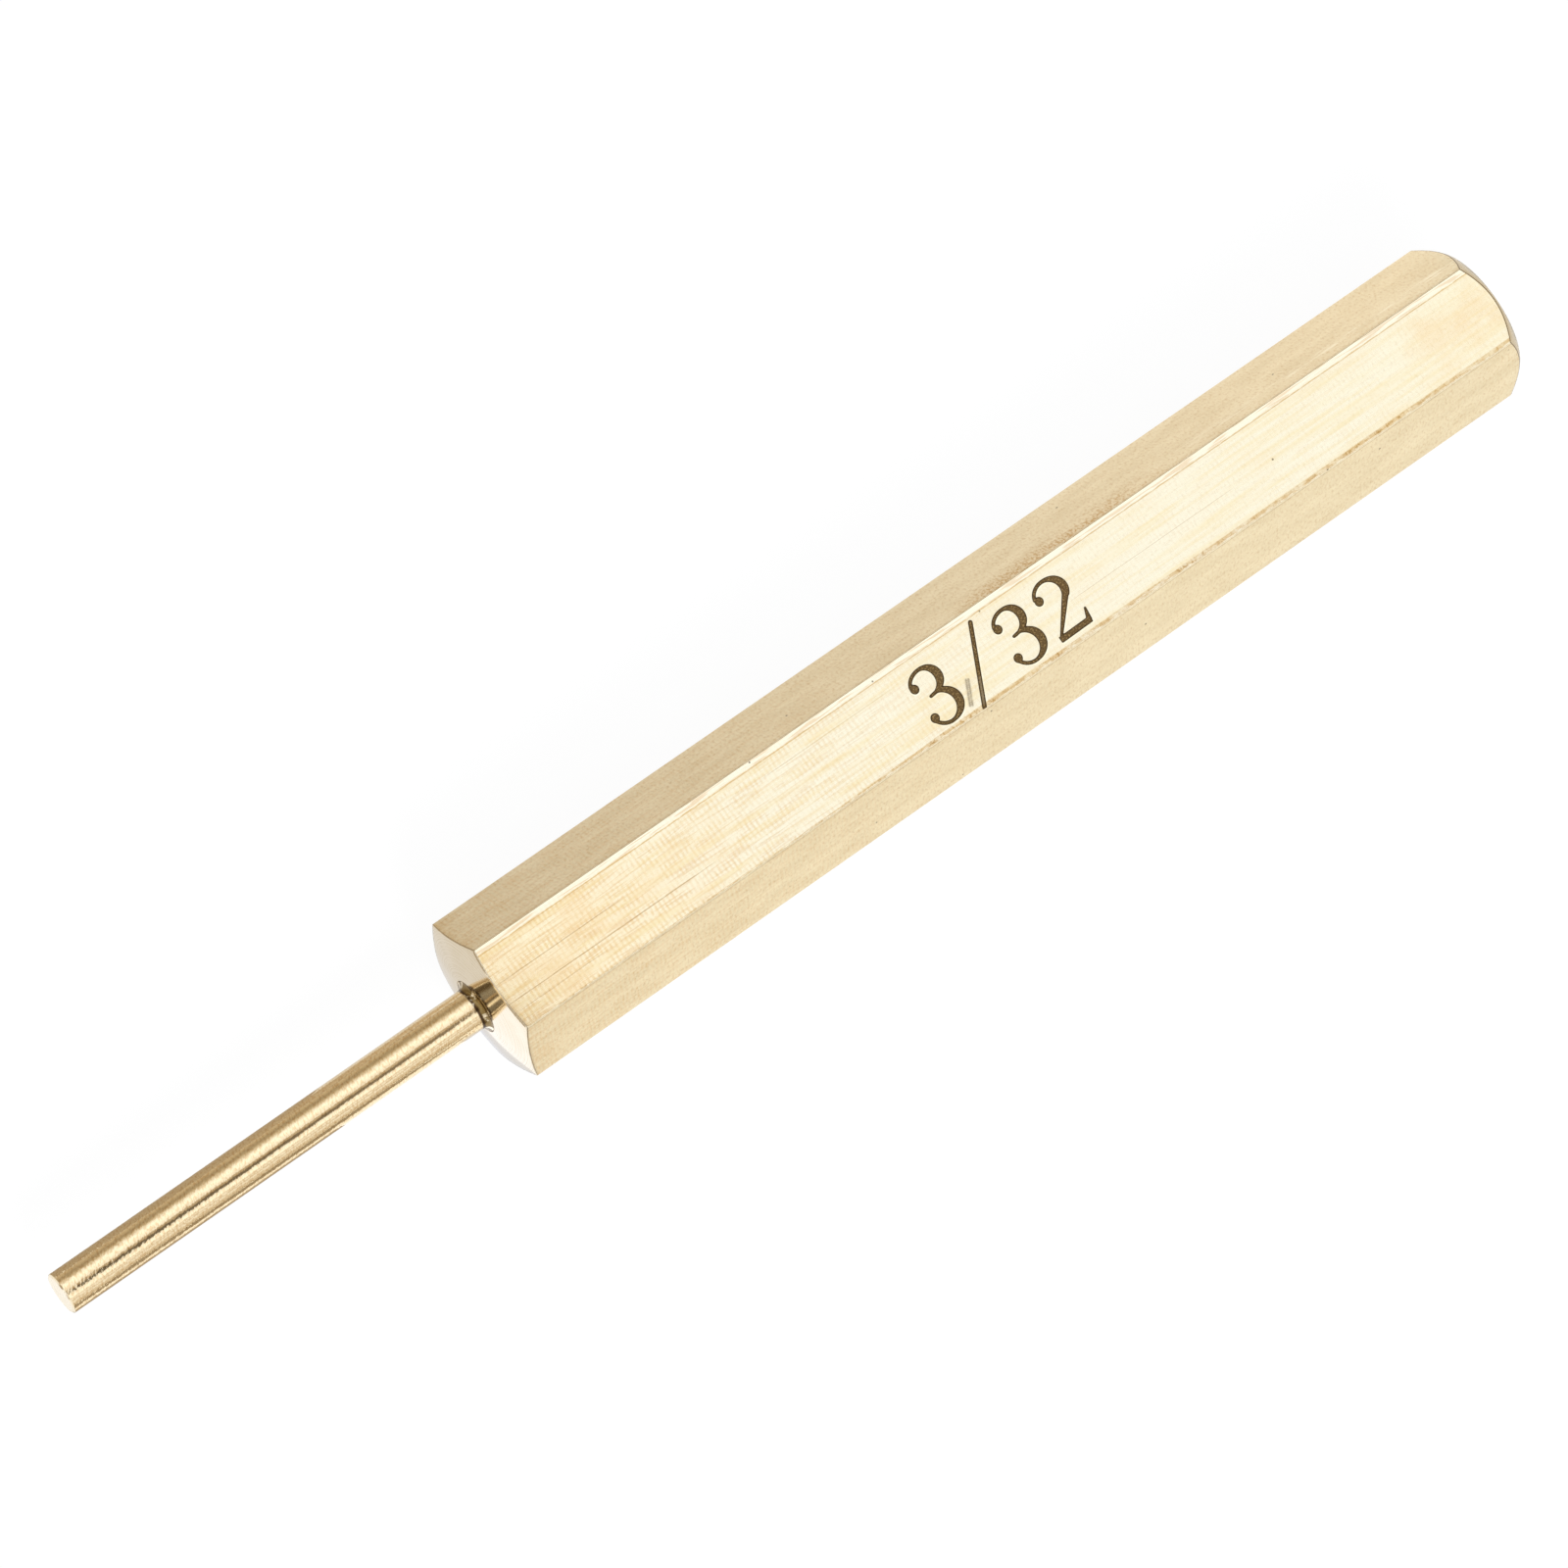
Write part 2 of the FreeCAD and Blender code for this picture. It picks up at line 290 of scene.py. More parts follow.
# Brass of the drawn bar. Its flats count round the skin from the bottom: 3 carries the number, and
# 2 and 4 lie beside it. Runs are mm along the punch, from its middle, and the rest are mm across a
# flat, from one of its ridges.
drawnBrassLook = {
    "markedFlat": "#F9F0D3", "markedFront": "#FDECC4", "markedEnd": "#FAEFCD",
    "plainFlat": "#EDDDB8", "plainShade": "#C7AF82",
    # polished: polish, and a painted highlight along the ridges
    "hatch": "#D9A55C", "ripple": "#E4B873", "patch": "#F4D5A2", "polishedAndHighlight": "#FDF4D9",
    "gold": "#F3D996", "line": "#AA7B30", "stain": "#BC8F4B", "rough": "#CFA359",
    # ridge line: a brown line along the ridges, and on the upper flat painted shade just under its ridge;
    # pit: pits, and painted shade along the flats' front edge
    "ridgeLineAndShade": "#876A40", "pitAndRimShade": "#5E4A33",
    "markFloor": "#6A5434", "markRim": "#43331E", "markGlint": "#B89A66", "scuff": "#A39478",
    "markedRoughness": 0.27, "plainRoughness": 0.36, "bumpHeight": 0.001 * mm,
    # streaks: how close along and across, and their detail
    "wideGrain": (0.07, 2.6, 3.0), "fineGrain": (0.45, 7.5, 1.0),
    "raggedGrain": (1.5, 4.5, 2.0), "brokenGrain": (1.3, 2.2, 2.0),
    "ripples": (0.275, 0.09),  # mm from one to the next, and how much they wander
    "patches": (0.4, 0.56, 0.16), "clouds": (1.1, 0.5, 0.3),  # scale, level and softness
    "cloudStretch": (0.3, 1.0, 1.0), "gritStretch": (7.0, 4.0, 1.0),
    "pits": (0.9, 0.16, 0.07), "pitDepth": 0.75,  # scale, share of the cells and radius
    "frontRun": (-20.0, -1.0), "endRun": (33.0, 45.0),  # where the marked flat turns warmer
    "hatchRun": (-19.0, 20.0),  # the hatch fades along this
    # strength on the plain flats, and on the marked one
    "hatchShare": (0.24, 0.34), "rippleShare": (0.28, 0.52), "patchShare": (0.15, 1.15),
    "mottleShare": (0.3, 0.0), "speckleShare": (0.36, 0.12), "fleckShare": (0.20, 0.15),
    "rimShadeShare": (0.70, 0.25),
    "stripWidth": 0.33, "stripLine": (0.35, 0.40),
    "roughRun": (-4.0, 10.0), "roughWidth": (0.07, 0.24),
    # the upper line is painted shade just under the ridge to the marked flat
    "upperShadeLine": (0.05, 0.13), "lowerLine": (0.14, 0.20), "paleRidgeAndHighlight": (0.0, 0.10),
    "paleStreaks": (0.8, 1.3), "paleRun": (18.0, 34.0),
    "stainRun": (12.0, 24.0), "stainReach": (0.2, 1.8),
    "ridgeWearAndHighlight": (0.02, 0.06), "frontRimShade": (0.04, 0.07),
    # scored lines on the marked flat: from its first ridge, first and last place along, half
    # width, strength
    "scored": [
        (2.06, -19.3, -12.0, 0.022, 0.6), (3.20, -19.4, -7.0, 0.022, 0.7),
        (3.74, -19.0, -14.0, 0.018, 0.4), (1.12, -2.0, 6.0, 0.018, 0.3),
        (2.62, 17.0, 27.0, 0.016, 0.3),
    ],
}


def makeDrawnBrass(look):
    material, tree, shader = newMetal("drawn_brass")
    point = skinPoint(tree)
    along, around, _ = add(tree, "SeparateXYZ", {0: point}).outputs
    width = flatWidth / mm
    flat = calc(tree, "FLOOR", calc(tree, "DIVIDE", around, width))
    across = calc(tree, "FLOORED_MODULO", around, width)  # from the flat's first ridge
    fromNext = calc(tree, "SUBTRACT", width, across)  # from its second ridge
    upper, marked, lower = (calc(tree, "COMPARE", flat, number, 0.5) for number in (2.0, 3.0, 4.0))

    def perFlat(onPlain, onMarked):
        return calc(tree, "MULTIPLY_ADD", marked, onMarked - onPlain, onPlain)

    wideLines = place(tree, streaks, point, look["wideGrain"])
    fineLines = place(tree, streaks, point, look["fineGrain"])
    raggedLines = place(tree, streaks, point, look["raggedGrain"])
    brokenLines = place(tree, streaks, point, look["brokenGrain"])
    ripples = place(tree, chatter, point, look["ripples"])
    patches = place(tree, stains, point, look["patches"])
    clouds = place(tree, stains, stretch(tree, point, look["cloudStretch"]), look["clouds"])
    pits = times(tree, place(tree, specks, point, look["pits"]), look["pitDepth"])
    grit = noise(tree, stretch(tree, point, look["gritStretch"]), 1.0, roughness=0.7)

    # ground colour: the marked flat is warmer toward both ends, the others are evenly dull
    toFront = ramp(tree, along, *look["frontRun"], 1.0, 0.0)
    toEnd = ramp(tree, along, *look["endRun"])
    markedTone = coat(tree, tone(look["markedFlat"]), toFront, look["markedFront"])
    markedTone = coat(tree, markedTone, times(tree, toEnd, 0.8), look["markedEnd"])
    colour = blendColour(tree, marked, tone(look["plainFlat"]), markedTone)

    # hatch: fine lines along the bar, crossed by ripples that fade past the number
    fade = ramp(tree, along, *look["hatchRun"], 1.0, 0.15)
    drawn = ramp(tree, fineLines, 0.48, 0.64)
    crossed = times(
        tree, ramp(tree, ripples, 0.1, 1.0), fade, ramp(tree, brokenLines, 0.28, 0.6),
        ramp(tree, clouds, 0.1, 0.8, 0.35, 1.0),
    )
    colour = coat(tree, colour, times(tree, drawn, perFlat(*look["hatchShare"]), fade), look["hatch"])
    colour = coat(tree, colour, times(tree, crossed, perFlat(*look["rippleShare"])), look["ripple"])
    golden = times(
        tree, ramp(tree, wideLines, 0.42, 0.66), ramp(tree, clouds, 0.1, 0.8, 0.5, 1.0), marked, 0.42,
    )
    colour = coat(tree, colour, golden, look["gold"])
    warmEnds = calc(tree, "MULTIPLY_ADD", calc(tree, "MAXIMUM", toFront, toEnd), 0.4, 0.08)
    colour = coat(tree, colour, times(tree, patches, warmEnds, perFlat(*look["patchShare"])), look["patch"])
    colour = coat(tree, colour, times(tree, clouds, perFlat(*look["mottleShare"])), look["plainShade"])
    speckle = times(tree, ramp(tree, grit, 0.5, 0.72), perFlat(*look["speckleShare"]))
    colour = coat(tree, colour, speckle, look["stain"])
    flecks = times(tree, ramp(tree, grit, 0.48, 0.3), perFlat(*look["fleckShare"]))
    colour = coat(tree, colour, flecks, look["polishedAndHighlight"])

    # the polished strip along the marked flat's first ridge, and the wobbly line that ends it
    wobble = calc(tree, "MULTIPLY_ADD", raggedLines, 0.09, -0.045)
    swayed = calc(tree, "ADD", across, wobble)
    strip = times(tree, marked, inBand(tree, swayed, 0.0, look["stripWidth"], 0.05))
    colour = coat(tree, colour, times(tree, strip, 0.75), look["polishedAndHighlight"])
    stripLines = times(tree, strip, ramp(tree, fineLines, 0.5, 0.6), 0.35)
    colour = coat(tree, colour, stripLines, look["hatch"])
    stripEnd = times(
        tree, marked, inBand(tree, swayed, *look["stripLine"], 0.035),
        ramp(tree, raggedLines, 0.3, 0.55, 0.4, 0.85),
    )
    colour = coat(tree, colour, stripEnd, look["rough"])

    # rough skin beside its second ridge, thin at the front and wider past the number
    roughWidth = ramp(tree, along, *look["roughRun"], *look["roughWidth"])
    inside = calc(tree, "SUBTRACT", calc(tree, "ADD", fromNext, wobble), roughWidth)
    torn = ramp(tree, raggedLines, 0.35, 0.62, 0.3, 0.9)
    roughSkin = times(tree, marked, ramp(tree, inside, -0.03, 0.03, 1.0, 0.0), torn)
    colour = coat(tree, colour, times(tree, roughSkin, 0.7), look["rough"])
    darkSkin = times(
        tree, roughSkin, ramp(tree, grit, 0.45, 0.62), ramp(tree, patches, 0.3, 0.7, 0.4, 1.0), 0.8,
    )
    colour = coat(tree, colour, darkSkin, look["line"])

    # the flats beside it: a brown line along each ridge, which on the upper flat is painted shade just under
    # the ridge; pale wear with a painted highlight on the ridges, pale streaks, and a stain
    upperShadeLine = times(tree, upper, inBand(tree, fromNext, *look["upperShadeLine"], 0.035), 0.5)
    lowerLine = times(tree, lower, inBand(tree, swayed, *look["lowerLine"], 0.03), 0.65)
    ridgeLineAndShade = times(tree, calc(tree, "MAXIMUM", upperShadeLine, lowerLine), raggedLines)
    colour = coat(tree, colour, ridgeLineAndShade, look["ridgeLineAndShade"])
    # pale ridge and worn edge: wear, and a painted highlight along the ridge
    paleRidgeAndHighlight = times(tree, lower, inBand(tree, swayed, *look["paleRidgeAndHighlight"], 0.03), raggedLines, 0.6)
    paleStreaks = times(
        tree, upper, inBand(tree, fromNext, *look["paleStreaks"], 0.1),
        ramp(tree, along, *look["paleRun"]), drawn, 0.5,
    )
    edgePlace = calc(tree, "MULTIPLY_ADD", wobble, 1.6, fromNext)
    wornEdgeAndHighlight = times(tree, upper, ramp(tree, edgePlace, 0.03, 0.08, 0.8, 0.0))
    paleAndHighlight = calc(tree, "MAXIMUM", calc(tree, "MAXIMUM", paleRidgeAndHighlight, paleStreaks), wornEdgeAndHighlight)
    colour = coat(tree, colour, paleAndHighlight, look["polishedAndHighlight"])
    stained = times(
        tree, upper, inBand(tree, along, *look["stainRun"], 3.0),
        ramp(tree, fromNext, *look["stainReach"], 1.0, 0.0),
        ramp(tree, clouds, 0.2, 0.6, 0.3, 1.0), ramp(tree, grit, 0.42, 0.62, 0.15, 1.0), 0.75,
    )
    colour = coat(tree, colour, stained, look["stain"])

    gentle = calc(tree, "MULTIPLY_ADD", wobble, 0.35, across)
    for reach, first, last, half, strength in look["scored"]:
        line = times(
            tree, inBand(tree, gentle, reach - half, reach + half, half), marked,
            inBand(tree, along, first, last, 0.8), ramp(tree, raggedLines, 0.3, 0.5, 0.3, strength),
        )
        colour = coat(tree, colour, line, look["line"])

    # ridges worn and painted with a highlight, the dark rim where a flat meets the turned front, which is
    # painted shade, and pits
    ridge = ramp(tree, calc(tree, "MINIMUM", across, fromNext), *look["ridgeWearAndHighlight"], 1.0, 0.0)
    wornAndHighlight = times(tree, ridge, ramp(tree, raggedLines, 0.3, 0.6, 0.8, 0.2))
    colour = coat(tree, colour, wornAndHighlight, look["polishedAndHighlight"])
    # painted shade: a dark rim along the flats' front edge
    rimShade = times(
        tree, ramp(tree, attribute(tree, "fromFront"), *look["frontRimShade"], 1.0, 0.0),
        ramp(tree, raggedLines, 0.3, 0.55, 0.35, 1.0), perFlat(*look["rimShadeShare"]),
    )
    colour = coat(tree, colour, rimShade, look["pitAndRimShade"])
    colour = coat(tree, colour, pits, look["pitAndRimShade"])

    # the number: a dark gritty floor with glints, and the grazes beside and inside the stroke
    grazed = times(tree, attribute(tree, "scuff"), ramp(tree, raggedLines, 0.3, 0.6, 0.55, 0.95))
    colour = coat(tree, colour, grazed, look["scuff"])
    markEdge = attribute(tree, "markEdge")
    cut = ramp(tree, markEdge, -0.015, 0.012, 1.0, 0.0)
    inner = ramp(tree, markEdge, -0.09, -0.02, 1.0, 0.0)
    glints = times(tree, ramp(tree, noise(tree, point, 11.0, 3.0, 0.65), 0.48, 0.68), inner, 0.9)
    floorTone = coat(tree, tone(look["markRim"]), inner, look["markFloor"])
    floorTone = coat(tree, floorTone, glints, look["markGlint"])
    grazedFloor = times(tree, grazed, ramp(tree, markEdge, -0.08, -0.05, 1.0, 0.0), 0.8)
    floorTone = coat(tree, floorTone, grazedFloor, look["scuff"])
    colour = blendColour(tree, cut, colour, floorTone)

    # the wide lines are a little duller, the ridges smoother, and the number and pits matt
    roughness = weighted(
        tree, (wideLines, 0.12), (ridge, -0.12),
        (perFlat(look["plainRoughness"] - 0.06, look["markedRoughness"] - 0.06), 1.0),
    )
    matt = times(tree, calc(tree, "MAXIMUM", cut, pits), 0.55)
    roughness = calc(tree, "MAXIMUM", roughness, matt)
    height = weighted(
        tree, (wideLines, 2.0), (fineLines, 1.2), (crossed, 1.4), (grit, 1.0),
        (times(tree, roughSkin, raggedLines), 4.0), (pits, -8.0), (times(tree, glints, cut), 8.0),
    )
    finishMetal(tree, shader, colour, roughness, height, look["bumpHeight"])
    return material


# Brass of the turned ends: near mirror, with the lathe's rings
facedBrassLook = {
    "brass": "#F4E7CD", "groove": "#DFCDA8", "chamfer": "#C4B18D", "rimShade": "#7E6848",
    "roughness": 0.12, "ringsPerMm": 19.0, "bumpHeight": 0.0012 * mm,
}


def makeFacedBrass(look):
    material, tree, shader = newMetal("faced_brass")
    spot = add(tree, "TexCoord").outputs["Object"]
    centring = {"Vector": spot, "Location": (0, 0, -axisHeight / mm), "Scale": (0, 1 / mm, 1 / mm)}
    centred = add(tree, "Mapping", centring, vector_type="POINT").outputs[0]  # mm from the axis
    reach = add(tree, "VectorMath", {0: centred}, operation="LENGTH").outputs["Value"]
    ringInputs = {"W": times(tree, reach, look["ringsPerMm"]), "Scale": 1.0, "Detail": 1.0}
    rings = add(tree, "TexNoise", ringInputs, noise_dimensions="1D").outputs[0]
    smear = noise(tree, centred, 0.8, 3.0)
    groove = times(tree, ramp(tree, rings, 0.42, 0.62), ramp(tree, smear, 0.3, 0.6, 0.25, 0.75))
    colour = coat(tree, tone(look["brass"]), groove, look["groove"])

    # the struck end's chamfer is rougher and painted darker as shade, darkest at its outer edge
    faceRadius = hexBody["struckFaceRadius"] / mm
    fromStruck = attribute(tree, "fromStruck")
    chamfer = times(
        tree, ramp(tree, reach, faceRadius - 0.04, faceRadius + 0.02),
        ramp(tree, fromStruck, 0.2, 0.1, 0.0, 1.0),
    )
    colour = coat(tree, colour, chamfer, look["chamfer"])
    edge = times(tree, chamfer, ramp(tree, fromStruck, -0.06, 0.0, 0.0, 1.0))
    colour = coat(tree, colour, edge, look["rimShade"])

    # the front's dark rim, where the flats begin: painted shade
    rimShade = times(
        tree, inBand(tree, attribute(tree, "fromFront"), -0.006, 0.06, 0.006),
        ramp(tree, reach, faceRadius - 0.2, faceRadius + 0.1), ramp(tree, smear, 0.35, 0.6, 0.1, 0.4),
    )
    colour = coat(tree, colour, rimShade, look["rimShade"])
    roughness = calc(tree, "MULTIPLY_ADD", groove, 0.1, look["roughness"] - 0.03)
    roughness = calc(tree, "MULTIPLY_ADD", chamfer, 0.15, roughness)
    finishMetal(tree, shader, colour, roughness, rings, look["bumpHeight"])
    return material


turnedPin = {
    "rootFlare": 0.36 * mm, "tipBreak": 0.08 * mm, "tangLead": 0.25 * mm,
    "columns": 96, "rowStep": 0.12 * mm, "tipRings": (0.3, 0.6, 0.9, 1.0), "flareRings": 12,
}


# Brass of the turned pin: ripples round it, roughest at the tip, and a root painted dark as shade, with
# painted glints
pinBrassLook = {
    "brass": "#F7E2B8", "groove": "#D2A86E",
    "flare": "#8C7446", "root": "#54402A", "rootGlint": "#FFF1D0",
    "roughness": 0.12, "bumpHeight": 0.003 * mm,
    "slant": 0.3, "rippleScale": 3.2, "fineScale": 9.0, "fineHeight": 1.1,
    "tipRipple": 10.5, "shankRipple": 3.8, "rippleRun": (-45.0, -30.0),
}


def makePinBrass(look):
    material, tree, shader = newMetal("turned_brass")
    point = skinPoint(tree)
    along, around, _ = add(tree, "SeparateXYZ", {0: point}).outputs
    slanted = calc(tree, "MULTIPLY_ADD", around, look["slant"], along)
    turned = add(tree, "CombineXYZ", {0: slanted, 1: times(tree, around, 0.5)}).outputs[0]
    ripple = noise(tree, turned, look["rippleScale"], 2.5, 0.6)
    fine = noise(tree, turned, look["fineScale"], 1.0)
    grooves = times(tree, ramp(tree, fine, 0.42, 0.7), 0.5)
    colour = coat(tree, tone(look["brass"]), grooves, look["groove"])

    # painted shade: the flare and a ring where it starts are dark, with painted highlights as glints
    flareStart = (bodyLow.x - turnedPin["rootFlare"]) / mm
    flare = ramp(tree, along, flareStart - 0.03, flareStart + 0.05)
    glint = ramp(tree, noise(tree, point, 1.9), 0.54, 0.62)
    rootTone = coat(tree, tone(look["flare"]), glint, look["rootGlint"])
    colour = blendColour(tree, flare, colour, rootTone)
    ring = inBand(tree, along, flareStart - 0.02, flareStart + 0.13, 0.05)
    ring = times(tree, ring, ramp(tree, glint, 0.0, 1.0, 1.0, 0.6))
    colour = coat(tree, colour, ring, look["root"])

    roughness = calc(tree, "MULTIPLY_ADD", flare, 0.12, look["roughness"])
    toTip = ramp(tree, along, *look["rippleRun"], look["tipRipple"], look["shankRipple"])
    height = weighted(tree, (fine, look["fineHeight"]), (ripple, toTip))
    finishMetal(tree, shader, colour, roughness, height, look["bumpHeight"])
    return material


# the size number that is cut in the top flat
sizeMark = {
    "left": 6.90 * mm, "baseline": -2.01 * mm,  # foot of the first numeral, on the flat
    "tilt": 1.0,  # degrees against the bar
    "slash": (2.78 * mm, -0.28 * mm), "second": (5.46 * mm, 0.0), "third": (8.10 * mm, 0.0),
    "thin": 0.108 * mm, "thick": 0.25 * mm, "ball": 0.25 * mm,  # half widths of the pen
    "footBar": (0.06 * mm, 0.02 * mm, 2.10 * mm, 0.38 * mm),  # left, bottom, right and top of the 2's foot
    "scuffs": [(9.70 * mm, -0.56 * mm), (9.82 * mm, -0.62 * mm), (10.40 * mm, -0.85 * mm)],
    "scuffRun": (-0.62 * mm, -1.22 * mm),
    "depth": 0.035 * mm, "wall": 0.05 * mm,
}


def arcStroke(centre, reach, start, end, thin, thick):
    # part of an ellipse, from start to end degrees, reaching right, left and up from its centre:
    # the pen widens where it runs down the right side
    turn = np.radians(np.linspace(start, end, 120))
    width = thin + (thick - thin) * np.clip(np.cos(turn), 0, 1) ** 1.6
    wide = np.where(np.cos(turn) > 0, reach[0], reach[1])
    return np.stack([centre[0] + wide * np.cos(turn), centre[1] + reach[2] * np.sin(turn), width], 1)


def lineStroke(start, end, startWidth, endWidth):
    # a straight stroke, whose half width changes evenly on its way
    share = np.linspace(0, 1, 90)[:, None]
    return (1 - share) * np.array([*start, startWidth]) + share * np.array([*end, endWidth])


def numeralThree(s):
    # two bowls, a short bar between them, and a ball at each end
    thin, thick, ball = s["thin"], s["thick"], s["ball"]
    return np.concatenate([
        arcStroke((1.05 * mm, 2.50 * mm), (0.74 * mm, 0.90 * mm, 0.71 * mm), 166, -74, thin, thick),
        arcStroke((1.03 * mm, 0.97 * mm), (0.93 * mm, 0.87 * mm, 0.85 * mm), 74, -152, thin, thick),
        lineStroke((0.80 * mm, 1.75 * mm), (1.25 * mm, 1.80 * mm), 0.09 * mm, thin),
        lineStroke((0.31 * mm, 2.50 * mm), (0.30 * mm, 2.52 * mm), ball, ball),
        lineStroke((0.31 * mm, 0.74 * mm), (0.30 * mm, 0.72 * mm), ball, ball),
    ])


def numeralTwo(s):
    # a bowl, a slanting stem, the foot's upturned end, and a ball
    thin, thick, ball = s["thin"], s["thick"], s["ball"]
    return np.concatenate([
        arcStroke((1.03 * mm, 2.42 * mm), (0.87 * mm, 0.88 * mm, 0.76 * mm), 166, -32, thin, thick),
        lineStroke((1.74 * mm, 2.00 * mm), (0.16 * mm, 0.26 * mm), 0.19 * mm, 0.08 * mm),
        lineStroke((1.98 * mm, 0.22 * mm), (2.15 * mm, 0.82 * mm), 0.16 * mm, 0.07 * mm),
        lineStroke((0.33 * mm, 2.42 * mm), (0.34 * mm, 2.44 * mm), ball, ball),
    ])


def markDistance(x, y, s):
    # signed distance to the cut numerals: negative inside. Each stroke is a row of touching circles.
    slash = lineStroke((0, 0), (2.02 * mm, 3.90 * mm), 0.13 * mm, 0.13 * mm)
    shapes = [
        (numeralThree(s), (0, 0)), (slash, s["slash"]),
        (numeralThree(s), s["second"]), (numeralTwo(s), s["third"]),
    ]
    turn = math.radians(s["tilt"])
    u, v = x - s["left"], y - s["baseline"]
    u, v = u * math.cos(turn) + v * math.sin(turn), v * math.cos(turn) - u * math.sin(turn)
    distance = np.full(x.shape, 1.0 * mm)
    for strokes, (right, up) in shapes:
        for cx, cy, radius in strokes:
            np.minimum(distance, np.hypot(u - right - cx, v - up - cy) - radius, out=distance)
    left, bottom, right, top = s["footBar"]
    right, left = right + s["third"][0], left + s["third"][0]
    pastSide = np.abs(u - (left + right) / 2) - (right - left) / 2
    pastTop = np.abs(v - (bottom + top) / 2) - (top - bottom) / 2
    return np.minimum(distance, np.maximum(pastSide, pastTop))


def scuffShare(x, y, s):
    # grazes beside and inside the stroke: 1 on their middle lines, 0 from 0.09 mm away
    nearest = np.full(x.shape, 1.0)
    runX, runY = s["scuffRun"]
    for startX, startY in s["scuffs"]:
        share = np.clip(((x - startX) * runX + (y - startY) * runY) / (runX ** 2 + runY ** 2), 0, 1)
        np.minimum(nearest, np.hypot(x - startX - share * runX, y - startY - share * runY), out=nearest)
    return 1 - smoothStep(nearest, 0.02 * mm, 0.09 * mm)


hexBody = {
    "crownRadius": 17.0 * mm, "cornerRadius": 0.1 * mm, "struckFaceRadius": 3.8 * mm, "chamferAngle": 45.0,
    "edgeBreak": 0.035 * mm, "boreRunOut": 0.5 * mm, "drillPoint": 118.0,
    "rowStep": 0.3 * mm, "markStep": 0.05 * mm, "columnStep": 0.55 * mm, "cornerSteps": 5,
    "crownRings": 14, "faceRings": (0.0, 0.3, 0.6, 0.85),
    "markX": (6.5 * mm, 17.8 * mm), "markY": (-2.2 * mm, 1.9 * mm),
}


def hexOutline(s):
    # Six flats joined by round corners, counterclockwise seen from +X, from the bottom flat on.
    # Gives y and z from the axis, and how far each point lies along the skin.
    half = acrossFlats / 2
    inset = s["cornerRadius"] * math.tan(math.radians(30))
    edge = flatWidth / 2 - inset
    share = np.arange(1, s["cornerSteps"]) / s["cornerSteps"]
    y, z, skin = [], [], []
    for flat in range(6):
        normal = math.radians(270 + 60 * flat)
        out = np.array([math.cos(normal), math.sin(normal)])
        side = np.array([-math.sin(normal), math.cos(normal)])
        if flat == 3:  # the marked flat: fine columns under the mark. Its side direction is -Y
            low, high = -s["markY"][1], -s["markY"][0]
            across = np.concatenate([
                spread(-edge, low, s["columnStep"])[:-1], spread(low, high, s["markStep"]),
                spread(high, edge, s["markStep"] * 2)[1:],
            ])
        else:
            across = spread(-edge, edge, s["columnStep"])
        points = out[:, None] * half + side[:, None] * across
        corner = out * (half - s["cornerRadius"]) + side * edge
        turn = normal + np.radians(60) * share
        bend = corner[:, None] + s["cornerRadius"] * np.stack([np.cos(turn), np.sin(turn)])
        y += [points[0], bend[0]]
        z += [points[1], bend[1]]
        start = (flat + 0.5) * flatWidth
        skin += [start + across, start + edge + share * 2 * inset]
    return np.concatenate(y), np.concatenate(z), np.concatenate(skin)


